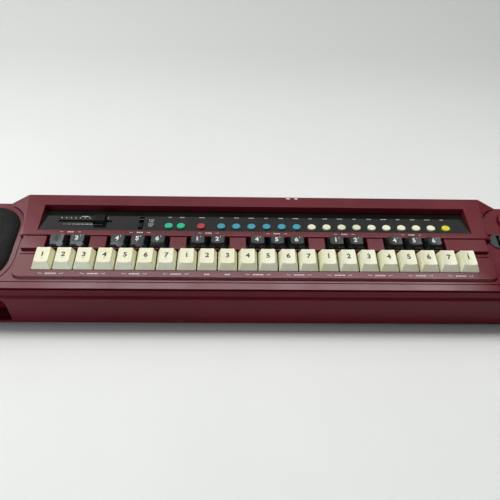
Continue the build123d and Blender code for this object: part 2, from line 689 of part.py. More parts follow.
with BuildPart() as key_chassis:
    with BuildSketch(bed_plane(CHASSIS_TOP_W)):
        with Locations((0, CHASSIS_V)):
            Rectangle(CHASSIS_LENGTH, CHASSIS_DEPTH)
    extrude(amount=-CHASSIS_THICKNESS)
    # Rim on three sides; the back stays open, where the dark caps come down.
    with BuildSketch(bed_plane(CHASSIS_TOP_W)):
        with Locations((0, CHASSIS_V)):
            Rectangle(CHASSIS_LENGTH, CHASSIS_DEPTH)
        with Locations((0, CHASSIS_V + CHASSIS_RIM)):
            Rectangle(CHASSIS_LENGTH - 2 * CHASSIS_RIM, CHASSIS_DEPTH, mode=Mode.SUBTRACT)
    extrude(amount=-WALL - CHASSIS_TOP_W)
    with BuildSketch(bed_plane(CHASSIS_TOP_W - CHASSIS_THICKNESS)):
        with Locations(*[(side * (CHASSIS_LENGTH / 2 - 2), KEY_BOARD_V) for side in (-1, 1)]):
            Rectangle(*CHASSIS_LEG)
    extrude(amount=-(CHASSIS_TOP_W - CHASSIS_THICKNESS - KEY_BOARD_TOP_W))
    with BuildSketch(bed_plane(CHASSIS_TOP_W)):
        with Locations(*STEMS):
            Rectangle(STEM_X + 2 * CLEARANCE, STEM_V + 2 * CLEARANCE)
    extrude(amount=-CHASSIS_THICKNESS, mode=Mode.SUBTRACT)
save(key_chassis.part, "key_chassis")


# ---------------------------------------------------------------- keys
def key_cap(x, base_v, top_v, top_width, base_w, top_w, stem_v):
    """One cap: a straight skirt, tapered sides, a dished top, a hollow and a guided stem."""
    skirt_w = 0.9
    base_depth, base_mid = span(base_v)
    top_depth, top_mid = span(top_v)
    with BuildPart() as cap:
        with BuildSketch(bed_plane(base_w)):
            with Locations((x, base_mid)):
                RectangleRounded(KEY_WIDTH, base_depth, 0.8)
        extrude(amount=skirt_w - base_w)
        with BuildSketch(bed_plane(skirt_w)):
            with Locations((x, base_mid)):
                RectangleRounded(KEY_WIDTH, base_depth, 0.8)
        with BuildSketch(bed_plane(top_w)):
            with Locations((x, top_mid)):
                RectangleRounded(top_width, top_depth, 1.2)
        loft()
        # Shallow trough along the top, for the fingertip.
        dish_depth = 0.5
        dish_radius = (top_width / 2) ** 2 / (2 * dish_depth)
        dish_plane = Plane(
            origin=bed_point(x, base_v[0] - 2, top_w + dish_radius - dish_depth),
            x_dir=(1, 0, 0),
            z_dir=(0, math.cos(TILT), math.sin(TILT)),
        )
        with BuildSketch(dish_plane):
            Circle(dish_radius)
        extrude(amount=base_depth + 4, mode=Mode.SUBTRACT)
        # Hollow underside.
        with BuildSketch(bed_plane(base_w)):
            with Locations((x, base_mid)):
                Rectangle(KEY_WIDTH - 2.6, base_depth - 2.6)
        with BuildSketch(bed_plane(top_w - 2.2)):
            with Locations((x, top_mid)):
                Rectangle(top_width - 1.0, top_depth - 1.4)
        loft(mode=Mode.SUBTRACT)
        # Stem with a catch under the chassis.
        with BuildSketch(bed_plane(top_w - 1.6)):
            with Locations((x, stem_v)):
                Rectangle(STEM_X, STEM_V)
        extrude(amount=-(top_w - 1.6 - STEM_END_W))
        with BuildSketch(bed_plane(CHASSIS_TOP_W - CHASSIS_THICKNESS - CLEARANCE)):
            with Locations((x, stem_v)):
                Rectangle(STEM_X, STEM_V + 2.4)
        extrude(amount=-(CHASSIS_TOP_W - CHASSIS_THICKNESS - CLEARANCE - STEM_END_W))
    return cap.part


for index in range(LIGHT_KEY_COUNT):
    cap = key_cap(
        x=light_key_x(index),
        base_v=(0, 21.3),
        top_v=(4.6, 21.0),
        top_width=12.8,
        base_w=-1.2,
        top_w=6.8,
        stem_v=LIGHT_STEM_V,
    )
    save(cap, f"white_key_{index + 1:02d}")

for index, x in enumerate(DARK_XS):
    cap = key_cap(
        x=x,
        base_v=(23.2, 37.2),
        top_v=(27.8, 36.9),
        top_width=12.4,
        base_w=-0.8,
        top_w=7.4,
        stem_v=DARK_STEM_V,
    )
    save(cap, f"black_key_{index + 1:02d}")

# ---------------------------------------------------------------- speaker at the left end
with BuildPart() as speaker_grille:
    with BuildSketch(bed_plane(DECK_W)):
        with Locations((GRILLE_X, GRILLE_V)):
            RectangleRounded(GRILLE_WIDTH, GRILLE_DEPTH, GRILLE_CORNER)
    extrude(amount=GRILLE_RISE)
    fillet(speaker_grille.edges().group_by(BED_NORMAL)[-1], radius=5.5)
    with BuildSketch(bed_plane(DECK_W)):
        with Locations((GRILLE_X, GRILLE_V)):
            RectangleRounded(GRILLE_WIDTH - 8, GRILLE_DEPTH - 8, GRILLE_CORNER - 4)
    extrude(amount=GRILLE_RISE - 1.6, mode=Mode.SUBTRACT)
save(speaker_grille.part, "speaker_grille")


def speaker_profile(points):
    """Turn an outline of (radius, w) points about the speaker's axis."""
    axis_origin = bed_point(GRILLE_X, GRILLE_V, 0)
    section = Plane(origin=axis_origin, x_dir=(1, 0, 0), z_dir=(0, -math.cos(TILT), -math.sin(TILT)))
    with BuildPart() as turned:
        with BuildSketch(section):
            with BuildLine():
                Polyline(*points, close=True)
            make_face()
        revolve(axis=Axis(axis_origin, bed_plane().z_dir))
    return turned.part


FRAME_TOP_W = DECK_W - WALL
speaker_frame = speaker_profile(
    [
        (0, FRAME_TOP_W - 16),
        (13, FRAME_TOP_W - 16),
        (30, FRAME_TOP_W - 3),
        (30, FRAME_TOP_W),
        (35, FRAME_TOP_W),
        (35, FRAME_TOP_W - 1.6),
        (31.5, FRAME_TOP_W - 1.6),
        (31.5, FRAME_TOP_W - 4),
        (15, FRAME_TOP_W - 17),
        (18, FRAME_TOP_W - 17),
        (18, FRAME_TOP_W - 25),
        (0, FRAME_TOP_W - 25),
    ]
)
save(speaker_frame, "speaker_frame")

speaker_cone = speaker_profile(
    [
        (0, FRAME_TOP_W - 9.5),
        (8, FRAME_TOP_W - 11.5),
        (25, FRAME_TOP_W - 2.5),
        (27.5, FRAME_TOP_W - 1.0),
        (29.9, FRAME_TOP_W - 2.5),
        (29.9, FRAME_TOP_W - 2.9),
        (27.5, FRAME_TOP_W - 1.5),
        (25, FRAME_TOP_W - 3.2),
        (12, FRAME_TOP_W - 12.2),
        (12, FRAME_TOP_W - 15.9),
        (0, FRAME_TOP_W - 15.9),
    ]
)
save(speaker_cone, "speaker_cone")

# ---------------------------------------------------------------- strum pad, bar and knob
pad_length, pad_x = span(PAD_X)
pad_depth, pad_v = span(PAD_V)
bar_length, bar_x = span(BAR_X)
bar_depth, bar_v = span(BAR_V)
with BuildPart() as strum_pad:
    with BuildSketch(bed_plane(DECK_W)):
        with Locations((pad_x, pad_v)):
            RectangleRounded(pad_length, pad_depth, 8.5)
    extrude(amount=1.3)
    fillet(strum_pad.edges().group_by(BED_NORMAL)[-1], radius=0.6)
    with BuildSketch(bed_plane(DECK_W)):
        with Locations((pad_x, pad_v)):
            RectangleRounded(pad_length - 6.4, pad_depth - 2.4, 4.8)
    extrude(amount=-7)
    with BuildSketch(bed_plane(DECK_W + 2)):
        with Locations((bar_x, bar_v)):
            Rectangle(bar_length + 2 * CLEARANCE, bar_depth + 2.6)
    extrude(amount=-7.9, mode=Mode.SUBTRACT)
    pin_plane = Plane(
        origin=bed_point(BAR_X[0] - 2.4, bar_v, BAR_AXIS_W), x_dir=(0, 1, 0), z_dir=(1, 0, 0)
    )
    with BuildSketch(pin_plane):
        Circle(BAR_PIN_RADIUS + 0.06)
    extrude(amount=bar_length + 4.8, mode=Mode.SUBTRACT)
save(strum_pad.part, "strum_pad")

with BuildPart() as strum_bar:
    section_plane = Plane(
        origin=bed_point(BAR_X[0], bar_v, BAR_AXIS_W),
        x_dir=(0, math.cos(TILT), math.sin(TILT)),
        z_dir=(1, 0, 0),
    )
    with BuildSketch(section_plane):
        with Locations((0, 3.4)):
            RectangleRounded(bar_depth, 7.4, 2.4)
        Circle(2.4)
    extrude(amount=bar_length)
    with BuildSketch(bed_plane(BAR_AXIS_W - 3)):
        with Locations((bar_x, bar_v)):
            RectangleRounded(bar_length, bar_depth, 5.4)
    extrude(amount=12, mode=Mode.INTERSECT)
    pin_plane = Plane(
        origin=bed_point(BAR_X[0] - 2.2, bar_v, BAR_AXIS_W), x_dir=(0, 1, 0), z_dir=(1, 0, 0)
    )
    with BuildSketch(pin_plane):
        Circle(BAR_PIN_RADIUS)
    extrude(amount=bar_length + 4.4)
save(strum_bar.part, "strum_bar")

BOSS_TOP_W = DECK_W + RIM_RISE
with BuildPart() as tuning_knob:
    with BuildSketch(bed_plane(BOSS_TOP_W - 0.8, BOSS_X, KNOB_V)):
        Circle(KNOB_RADIUS)
    extrude(amount=4.6)
    fillet(tuning_knob.edges().group_by(BED_NORMAL)[-1], radius=0.8)
    with BuildSketch(bed_plane(BOSS_TOP_W + 0.6, BOSS_X, KNOB_V)):
        with PolarLocations(KNOB_RADIUS + 0.2, 28):
            Circle(0.55)
    extrude(amount=5, mode=Mode.SUBTRACT)
    with BuildSketch(bed_plane(BOSS_TOP_W + 4, BOSS_X, KNOB_V)):
        with Locations((0, 6)):
            Rectangle(1.0, 6)
    extrude(amount=-0.6, mode=Mode.SUBTRACT)
    with BuildSketch(bed_plane(BOSS_TOP_W - 0.8, BOSS_X, KNOB_V)):
        Circle(3.4)
    extrude(amount=-9)
save(tuning_knob.part, "tuning_knob")

# ---------------------------------------------------------------- jack sockets
with BuildPart() as jack_sockets:
    wall_y = -BODY_DEPTH / 2 + JACK_BAY_DEPTH
    for jack_x in JACK_XS:
        with BuildSketch(Plane.XZ.offset(-wall_y)):
            with Locations((jack_x, JACK_Z)):
                Circle(4.2)
        extrude(amount=1.8)
        with BuildSketch(Plane.XZ.offset(-wall_y)):
            with Locations((jack_x, JACK_Z)):
                Circle(3.0)
        extrude(amount=-WALL)
        with BuildSketch(Plane.XZ.offset(-wall_y - WALL)):
            with Locations((jack_x, JACK_Z)):
                Rectangle(9, 9)
        extrude(amount=-12)
        with BuildSketch(Plane.XZ.offset(-wall_y + 1.8)):
            with Locations((jack_x, JACK_Z)):
                Circle(JACK_BORE_RADIUS)
        extrude(amount=-14, mode=Mode.SUBTRACT)
save(jack_sockets.part, "jack_sockets")
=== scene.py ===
"""Looks of the electronic number-key harp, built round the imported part.

Metres, with the part's own axes: X along the keyboard, +Y to the back, +Z up. Places on the
tilted key bed are given as (x, v, w) in millimetres, as in the part's source: v up the slope from
the front edge of the light keys, w above the bed.
"""

import math
import random

import bmesh
import bpy
from mathutils import Matrix, Vector


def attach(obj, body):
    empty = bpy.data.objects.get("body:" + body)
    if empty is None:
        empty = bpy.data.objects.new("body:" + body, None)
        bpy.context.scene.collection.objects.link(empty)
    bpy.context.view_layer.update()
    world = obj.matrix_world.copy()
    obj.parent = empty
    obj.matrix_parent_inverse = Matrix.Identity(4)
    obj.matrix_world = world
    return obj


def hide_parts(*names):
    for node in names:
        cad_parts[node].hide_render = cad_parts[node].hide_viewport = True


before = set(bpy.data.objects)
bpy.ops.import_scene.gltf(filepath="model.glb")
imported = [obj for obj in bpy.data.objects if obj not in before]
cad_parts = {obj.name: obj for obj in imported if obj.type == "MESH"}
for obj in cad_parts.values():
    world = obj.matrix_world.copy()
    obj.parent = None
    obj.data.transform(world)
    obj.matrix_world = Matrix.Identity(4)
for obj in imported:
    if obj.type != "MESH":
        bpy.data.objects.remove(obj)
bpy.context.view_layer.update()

MM = 0.001
TILT = math.atan(0.2)
BED_FRONT_Y = -33.9
BED_FRONT_Z = 55.5
DECK_W = -2.75
CONSOLE_W = 2.8
KEY_PITCH = 19.05
LIGHT_KEY_COUNT = 22
LIGHT_TOP_W = 6.8
DARK_TOP_W = 7.4
DISH = 0.5
PANEL_Z = 66.6
GRILLE_X = -272.8
GRILLE_V = 32.0
GRILLE_WIDTH = 78.6
GRILLE_DEPTH = 89.6
GRILLE_CORNER = 27.0
GRILLE_RISE = 6.9

# Prints, in millimetres: how far a print stands off its surface, how thick it is, its sizes.
PRINT_GAP = 0.02
PRINT_THICKNESS = 0.06
DIGIT_GAP = 0.05
LIGHT_DIGIT_HEIGHT = 4.9
LIGHT_DIGIT_V = 13.1
DARK_DIGIT_HEIGHT = 4.4
DARK_DIGIT_V = 32.6
DIGIT_WIDTH = 1.12
OCTAVE_DOT_RADIUS = 0.42
BED_WORD_V = -4.2
CONSOLE_WORD_V = 42.6
LETTER_WIDTH = 0.85
RULE_HEIGHT = 0.32

# Controls on the level panel, as in the part's source.
GREEN_XS = [-87.3, -75.3]
RED_X = -55.4
FIRST_BLUE_X = -35.5
BUTTON_PITCH = 15.0
BUTTON_WORD_Y = 31.6
VOLUME_START_X = -195.0
VOLUME_DOT_Y = 29.4
VOLUME_WEDGE_Y = 19.4
SWITCH_WORD_X = -105.4


# ---------------------------------------------------------------- places
def bed(x, v, w):
    """Point of the row frame, in metres, for a place on the tilted bed."""
    y = BED_FRONT_Y + v * math.cos(TILT) - w * math.sin(TILT)
    z = BED_FRONT_Z + v * math.sin(TILT) + w * math.cos(TILT)
    return Vector((x, y, z)) * MM


def bed_frame(x, v, w):
    """Matrix that carries millimetres in a flat drawing onto the tilted bed."""
    rows = Matrix.Rotation(TILT, 4, "X") @ Matrix.Scale(MM, 4)
    return Matrix.Translation(bed(x, v, w)) @ rows


def panel_frame(z):
    """The same for a level drawing at height z, in the model's own X and Y."""
    return Matrix.Translation(Vector((0, 0, z)) * MM) @ Matrix.Scale(MM, 4)


def dark_key_xs():
    """X of each dark key: over every join of light keys but the third and seventh of an octave."""
    first = -(LIGHT_KEY_COUNT - 1) / 2
    joins = [i for i in range(LIGHT_KEY_COUNT - 1) if i % 7 not in (2, 6)]
    return [(first + i + 0.5) * KEY_PITCH for i in joins]


# ---------------------------------------------------------------- node graphs
class Graph:
    """Short way to write a material's node tree."""

    def __init__(self, name):
        self.material = bpy.data.materials.new(name)
        self.material.use_nodes = True
        self.tree = self.material.node_tree
        self.shader = self.tree.nodes["Principled BSDF"]
        self.place = self.tree.nodes.new("ShaderNodeTexCoord").outputs["Object"]

    def link(self, source, target):
        self.tree.links.new(source, target)

    def noise(self, scale, detail=3.0, rough=0.55, stretch=(1, 1, 1)):
        """Noise over the surface; stretch below 1 draws it out along that axis."""
        mapping = self.tree.nodes.new("ShaderNodeMapping")
        mapping.inputs["Scale"].default_value = stretch
        self.link(self.place, mapping.inputs["Vector"])
        node = self.tree.nodes.new("ShaderNodeTexNoise")
        node.inputs["Scale"].default_value = scale
        node.inputs["Detail"].default_value = detail
        node.inputs["Roughness"].default_value = rough
        self.link(mapping.outputs["Vector"], node.inputs["Vector"])
        return node.outputs["Fac"]

    def cells(self, scale, randomness=1.0):
        node = self.tree.nodes.new("ShaderNodeTexVoronoi")
        node.inputs["Scale"].default_value = scale
        node.inputs["Randomness"].default_value = randomness
        self.link(self.place, node.inputs["Vector"])
        return node.outputs["Distance"]

    def ramp(self, fac, low, high, start=0.0, end=1.0):
        """Value or colour that runs from start to end as fac goes from low to high."""
        node = self.tree.nodes.new("ShaderNodeMapRange")
        node.inputs["From Min"].default_value = low
        node.inputs["From Max"].default_value = high
        node.inputs["To Min"].default_value = start
        node.inputs["To Max"].default_value = end
        self.link(fac, node.inputs["Value"])
        return node.outputs["Result"]

    def mix(self, fac, first, second):
        """Colour mix; either colour is a tuple or a socket."""
        node = self.tree.nodes.new("ShaderNodeMix")
        node.data_type = "RGBA"
        self.link(fac, node.inputs["Factor"])
        for value, socket in ((first, node.inputs["A"]), (second, node.inputs["B"])):
            if isinstance(value, tuple):
                socket.default_value = (*value, 1.0)
            else:
                self.link(value, socket)
        return node.outputs["Result"]

    def math(self, operation, first, second):
        node = self.tree.nodes.new("ShaderNodeMath")
        node.operation = operation
        for value, socket in zip((first, second), node.inputs):
            if isinstance(value, (int, float)):
                socket.default_value = value
            else:
                self.link(value, socket)
        return node.outputs["Value"]

    def bump(self, height, strength, distance):
        """Add a relief; calls stack on each other."""
        node = self.tree.nodes.new("ShaderNodeBump")
        node.inputs["Strength"].default_value = strength
        node.inputs["Distance"].default_value = distance
        self.link(height, node.inputs["Height"])
        before = self.shader.inputs["Normal"].links
        if before:
            self.link(before[0].from_socket, node.inputs["Normal"])
        self.link(node.outputs["Normal"], self.shader.inputs["Normal"])

    def colour(self, source):
        self.link(source, self.shader.inputs["Base Color"])

    def roughness(self, source):
        self.link(source, self.shader.inputs["Roughness"])


def shade(colour, factor):
    return tuple(min(1.0, c * factor) for c in colour)


def moulded(name, colour, rough=(0.22, 0.38), grain=900.0, grain_depth=0.00002, tint=0.10):
    """Injection-moulded plastic: faint tone drift, handling smudges and a fine mould grain."""
    g = Graph(name)
    drift = g.noise(14.0, 2.0)
    g.colour(g.mix(g.ramp(drift, 0.35, 0.65), shade(colour, 1 - tint), shade(colour, 1 + tint)))
    g.roughness(g.ramp(g.noise(55.0, 4.0), 0.3, 0.7, *rough))
    g.bump(g.noise(grain, 2.0), 0.25, grain_depth)
    return g


def maroon_plastic(name, colour, specular):
    """Glossy dark red case plastic with dust and hairline scratches."""
    g = Graph(name)
    drift = g.noise(9.0, 2.0)
    body = g.mix(g.ramp(drift, 0.35, 0.65), shade(colour, 0.9), shade(colour, 1.1))
    specks = g.ramp(g.noise(1300.0, 1.0), 0.74, 0.80, 0.0, 0.5)
    dusty = g.mix(specks, body, (0.30, 0.20, 0.20))
    scratches = g.ramp(g.noise(420.0, 2.0, 0.5, (0.06, 1.0, 1.0)), 0.72, 0.77, 0.0, 0.25)
    g.colour(g.mix(scratches, dusty, (0.28, 0.12, 0.13)))
    smudge = g.ramp(g.noise(34.0, 5.0), 0.32, 0.72, 0.10, 0.22)
    g.roughness(g.math("ADD", smudge, g.math("MULTIPLY", specks, 0.4)))
    g.bump(g.noise(650.0, 2.0), 0.06, 0.00002)
    g.bump(scratches, 0.2, 0.00002)
    g.shader.inputs["Specular IOR Level"].default_value = specular
    return g.material


def key_plastic(name, colour, aged, rough):
    """Key cap plastic: each stretch a little differently aged, a fine grain, worn smoother."""
    g = Graph(name)
    tone = g.mix(g.ramp(g.noise(30.0, 2.0), 0.35, 0.65), colour, aged)
    grime = g.ramp(g.noise(260.0, 4.0), 0.60, 0.80, 0.0, 0.35)
    g.colour(g.mix(grime, tone, shade(aged, 0.72)))
    g.roughness(g.ramp(g.noise(120.0, 3.0), 0.3, 0.7, *rough))
    g.bump(g.noise(1500.0, 2.0), 0.18, 0.00002)
    return g.material


def panel_plastic():
    """Dark printed panel: satin sheet with a fine linen grain and a few wipe marks."""
    g = Graph("panel_plastic")
    g.colour(g.mix(g.ramp(g.noise(22.0), 0.3, 0.7), (0.006, 0.0065, 0.006), (0.010, 0.011, 0.010)))
    g.roughness(g.ramp(g.noise(60.0, 4.0, 0.6, (0.2, 1, 1)), 0.3, 0.7, 0.05, 0.10))
    g.bump(g.noise(2200.0, 1.0), 0.04, 0.00001)
    return g.material


def mesh_metal():
    """Powder-coated black sheet of the grille."""
    g = Graph("grille_metal")
    g.colour(g.mix(g.ramp(g.noise(80.0), 0.3, 0.7), (0.006, 0.006, 0.006), (0.014, 0.0135, 0.013)))
    g.roughness(g.ramp(g.noise(300.0), 0.3, 0.7, 0.50, 0.70))
    g.shader.inputs["Specular IOR Level"].default_value = 0.25
    g.bump(g.noise(3000.0, 2.0), 0.3, 0.00003)
    return g.material


def speaker_cloth():
    """Dull open cloth behind the perforations."""
    g = Graph("speaker_cloth")
    g.colour(g.mix(g.ramp(g.noise(900.0), 0.3, 0.7), (0.004, 0.004, 0.004), (0.012, 0.012, 0.012)))
    g.bump(g.cells(1800.0, 0.2), 0.6, 0.0002)
    g.shader.inputs["Roughness"].default_value = 0.95
    return g.material


def rubber(name, colour, pebble, depth):
    g = Graph(name)
    g.colour(g.mix(g.ramp(g.noise(70.0, 4.0), 0.3, 0.7), shade(colour, 0.8), shade(colour, 1.3)))
    g.roughness(g.ramp(g.noise(200.0), 0.3, 0.7, 0.6, 0.85))
    g.bump(g.cells(pebble), 0.5, depth)
    return g.material


def steel(name, colour=(0.55, 0.55, 0.55), rough=(0.28, 0.45)):
    g = Graph(name)
    g.colour(g.mix(g.ramp(g.noise(90.0), 0.3, 0.7), shade(colour, 0.8), colour))
    g.roughness(g.ramp(g.noise(400.0, 3.0, 0.6, (0.1, 1, 1)), 0.3, 0.7, *rough))
    g.bump(g.noise(900.0, 2.0, 0.6, (0.1, 1, 1)), 0.15, 0.00002)
    g.shader.inputs["Metallic"].default_value = 1.0
    return g.material


def printed_ink(name, colour, worn):
    """Thin print that has rubbed down a little in spots."""
    g = Graph(name)
    g.colour(g.mix(g.ramp(g.noise(1100.0, 3.0), 0.48, 0.72), colour, worn))
    g.roughness(g.ramp(g.noise(300.0), 0.3, 0.7, 0.4, 0.6))
    g.bump(g.noise(2500.0, 1.0), 0.1, 0.00001)
    return g.material


# ---------------------------------------------------------------- pieces
def add_piece(name, mesh, body, material):
    """Link a finished mesh, give it its material and let it ride on a CAD body."""
    piece = bpy.data.objects.new(name, mesh)
    bpy.context.scene.collection.objects.link(piece)
    mesh.materials.clear()
    mesh.materials.append(material)
    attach(piece, body)
    return piece


def text_mesh(text, height, boldness):
    """Flat, slightly thick and widened characters in millimetres, centred on the origin."""
    cap_share = 0.70
    curve = bpy.data.curves.new("characters", "FONT")
    curve.body = text
    curve.size = height / cap_share
    curve.align_x = "CENTER"
    curve.align_y = "CENTER"
    curve.offset = boldness
    curve.extrude = 0.03
    curve.resolution_u = 4
    holder = bpy.data.objects.new("characters", curve)
    bpy.context.scene.collection.objects.link(holder)
    mesh = bpy.data.meshes.new_from_object(holder)
    bpy.data.objects.remove(holder)
    bpy.data.curves.remove(curve)
    mesh.transform(Matrix.Diagonal((DIGIT_WIDTH, 1.0, 1.0, 1.0)))
    return mesh


def bridge(bm, low, high):
    """Band of faces between two closed rings of the same count."""
    for i in range(len(low)):
        j = (i + 1) % len(low)
        bm.faces.new((low[i], low[j], high[j], high[i]))


def add_prism(bm, outline, thick=PRINT_THICKNESS):
    """Thin closed flake with that outline, lying on the drawing plane."""
    low = [bm.verts.new((x, y, 0.0)) for x, y in outline]
    high = [bm.verts.new((x, y, thick)) for x, y in outline]
    bm.faces.new(high)
    bm.faces.new(list(reversed(low)))
    bridge(bm, low, high)


def add_plate(bm, x, y, width, height):
    """Small printed bar."""
    left, right = x - width / 2, x + width / 2
    bottom, top = y - height / 2, y + height / 2
    add_prism(bm, [(left, bottom), (right, bottom), (right, top), (left, top)])


def add_disc(bm, x, y, radius, sides=16):
    """Small printed dot."""
    angles = [2 * math.pi * i / sides for i in range(sides)]
    add_prism(bm, [(x + radius * math.cos(a), y + radius * math.sin(a)) for a in angles])


def add_sharp(bm, x, y, size):
    """Sharp sign from two upright and two slanting bars."""
    for side in (-1, 1):
        add_plate(bm, x + side * size * 0.16, y, size * 0.09, size)
        add_plate(bm, x, y + side * size * 0.18, size * 0.62, size * 0.12)


def finish_mesh(bm, name, matrix):
    """Mesh from a drawing in millimetres, carried to its place."""
    mesh = bpy.data.meshes.new(name)
    bm.to_mesh(mesh)
    bm.free()
    mesh.transform(matrix)
    mesh.update()
    return mesh


def light_key_legends(ink):
    """A digit on each light key, with a dot below in the low run and above in the high ones."""
    dot_x, dot_reach, dot_pitch = 0.1, 3.7, 1.3
    for index in range(LIGHT_KEY_COUNT):
        digit = str(index % 7 + 1)
        octave = index // 7
        x = (index - (LIGHT_KEY_COUNT - 1) / 2) * KEY_PITCH
        bm = bmesh.new()
        bm.from_mesh(text_mesh(digit, LIGHT_DIGIT_HEIGHT, boldness=0.22))
        if octave == 0:
            add_disc(bm, dot_x, -dot_reach, OCTAVE_DOT_RADIUS)
        for dot in range(max(0, octave - 1)):
            add_disc(bm, dot_x, dot_reach + dot * dot_pitch, OCTAVE_DOT_RADIUS)
        place = bed_frame(x, LIGHT_DIGIT_V, LIGHT_TOP_W - DISH + DIGIT_GAP)
        name = f"light_legend_{index + 1:02d}"
        mesh = finish_mesh(bm, name, place)
        add_piece(name, mesh, f"white_key_{index + 1:02d}", ink)


def dark_key_legends(ink):
    """Digit and sharp sign on each dark key; the first one is blank."""
    digits = "12456"
    dot_x, dot_radius = -0.6, 0.4
    for index, x in enumerate(dark_key_xs()):
        if index == 0:
            continue
        octave = index // len(digits)
        bm = bmesh.new()
        bm.from_mesh(text_mesh(digits[index % len(digits)], DARK_DIGIT_HEIGHT, boldness=0.20))
        bmesh.ops.translate(bm, verts=bm.verts, vec=(-0.7, -0.4, 0))
        add_sharp(bm, 2.7, 2.3, size=2.0)
        if octave == 0:
            add_disc(bm, dot_x, -3.5, dot_radius)
        if octave == 2:
            add_disc(bm, dot_x, 3.0, dot_radius)
        place = bed_frame(x, DARK_DIGIT_V, DARK_TOP_W - DISH + DIGIT_GAP)
        name = f"dark_legend_{index + 1:02d}"
        mesh = finish_mesh(bm, name, place)
        add_piece(name, mesh, f"black_key_{index + 1:02d}", ink)


def tick_row(bm, x, y, count, pitch=1.25, height=1.2, width=LETTER_WIDTH):
    """Run of short bars standing in for a printed word; every third one is a tall letter."""
    for i in range(count):
        lift = height * (0.84 if i % 3 else 1.0)
        add_plate(bm, x + (i - (count - 1) / 2) * pitch, y, width, lift)


def bed_legends(ink):
    """Bar groups under each pair of light keys and above each run of dark keys."""
    bm = bmesh.new()
    first = -(LIGHT_KEY_COUNT - 1) / 2 * KEY_PITCH
    for start in (0, 2, 4, 6, 10, 12, 14, 16, 18, 20):
        middle = first + (start + 0.5) * KEY_PITCH
        tick_row(bm, middle, BED_WORD_V, 8, height=1.25)
        for side in (-1, 1):
            add_plate(bm, middle + side * 9.4, BED_WORD_V, 3.4, RULE_HEIGHT)
            add_plate(bm, middle + side * 11.1, BED_WORD_V + 0.5, RULE_HEIGHT, 1.2)
    for single in (8, 9):
        tick_row(bm, first + single * KEY_PITCH, BED_WORD_V, 4, height=1.25)
    mesh = finish_mesh(bm, "bed_legends", bed_frame(0, 0, PRINT_GAP))
    add_piece("bed_legends", mesh, "case", ink)

    bm = bmesh.new()
    xs = dark_key_xs()
    for first_key, last_key in ((0, 1), (2, 4), (5, 6), (7, 9), (10, 11), (12, 14)):
        middle = (xs[first_key] + xs[last_key]) / 2
        tick_row(bm, middle, CONSOLE_WORD_V, 5)
        for side in (-1, 1):
            add_plate(bm, middle + side * 8.6, CONSOLE_WORD_V, 3.2, RULE_HEIGHT)
    mesh = finish_mesh(bm, "console_legends", bed_frame(0, 0, CONSOLE_W + PRINT_GAP))
    add_piece("console_legends", mesh, "case", ink)


def edge_chips(material):
    """Two pale rubbed spots where the console's back edge has been knocked."""
    edge_v, half_depth, corners = 89.4, 1.15, 14
    dice = random.Random(7)
    bm = bmesh.new()
    for middle, length in ((32.5, 6.0), (41.0, 4.5)):
        outline = []
        for i in range(corners):
            angle = 2 * math.pi * i / corners
            reach = dice.uniform(0.55, 1.0)
            x = middle + length / 2 * reach * math.cos(angle)
            outline.append((x, edge_v + half_depth * reach * math.sin(angle)))
        add_prism(bm, outline, thick=0.04)
    mesh = finish_mesh(bm, "edge_chips", bed_frame(0, 0, CONSOLE_W))
    add_piece("edge_chips", mesh, "case", material)


def panel_legends(ink):
    """Bars above the buttons, volume dots with a swelling wedge, and slide switch marks."""
    bm = bmesh.new()
    button_xs = GREEN_XS + [RED_X] + [FIRST_BLUE_X + BUTTON_PITCH * i for i in range(16)]
    for index, x in enumerate(button_xs):
        tick_row(bm, x, BUTTON_WORD_Y, 3 + index % 3, pitch=1.15, height=1.0, width=0.75)
    for i in range(11):
        add_disc(bm, VOLUME_START_X + i * 4.6, VOLUME_DOT_Y, 0.55)
    tick_row(bm, VOLUME_START_X + 23.0, VOLUME_DOT_Y + 2.4, 6, width=0.8)
    for i in range(9):
        swelling = 0.18 + 0.09 * i
        add_plate(bm, VOLUME_START_X + 5.0 + i * 4.4, VOLUME_WEDGE_Y, 3.6, swelling)
    for i, y in enumerate((17.6, 20.6, 24.2, 27.2)):
        tick_row(bm, SWITCH_WORD_X, y, 3 + i % 2, pitch=1.4, height=1.1)
    mesh = finish_mesh(bm, "panel_legends", panel_frame(PANEL_Z + PRINT_GAP))
    add_piece("panel_legends", mesh, "case", ink)


# ---------------------------------------------------------------- speaker grille
def inside_depth(x, v):
    """How far a point lies inside the grille's rounded outline, in millimetres."""
    qx = abs(x) - (GRILLE_WIDTH / 2 - GRILLE_CORNER)
    qv = abs(v) - (GRILLE_DEPTH / 2 - GRILLE_CORNER)
    outside = math.hypot(max(qx, 0.0), max(qv, 0.0)) + min(max(qx, qv), 0.0)
    return GRILLE_CORNER - outside


def dome(depth):
    """Height of the pillow-shaped grille above the deck at that depth inside its outline."""
    roll = 17.0
    fullness = 2.6
    share = min(max(depth, 0.0), roll) / roll
    return GRILLE_RISE * math.sqrt(1 - (1 - share) ** fullness)


def outline_point(turn, inset):
    """Point of the rounded outline, moved inwards by inset; turn goes once round, 0 to 1."""
    radius = GRILLE_CORNER - inset
    half_x = GRILLE_WIDTH / 2 - GRILLE_CORNER
    half_v = GRILLE_DEPTH / 2 - GRILLE_CORNER
    corners = ((half_x, half_v), (-half_x, half_v), (-half_x, -half_v), (half_x, -half_v))
    step = turn * 4
    quarter = int(step) % 4
    share = step - int(step)
    cx, cv = corners[quarter]
    angle = (quarter + share) * math.pi / 2
    return cx + radius * math.cos(angle), cv + radius * math.sin(angle)


def add_rings(bm, profile, around):
    """Skin through rings of the grille's outline, one for each (inset, height); gives the last."""
    rings = []
    for inset, height in profile:
        ring = []
        for i in range(around):
            x, v = outline_point(i / around, inset)
            ring.append(bm.verts.new((x, v, height)))
        rings.append(ring)
    for low, high in zip(rings, rings[1:]):
        bridge(bm, low, high)
    return rings[-1]


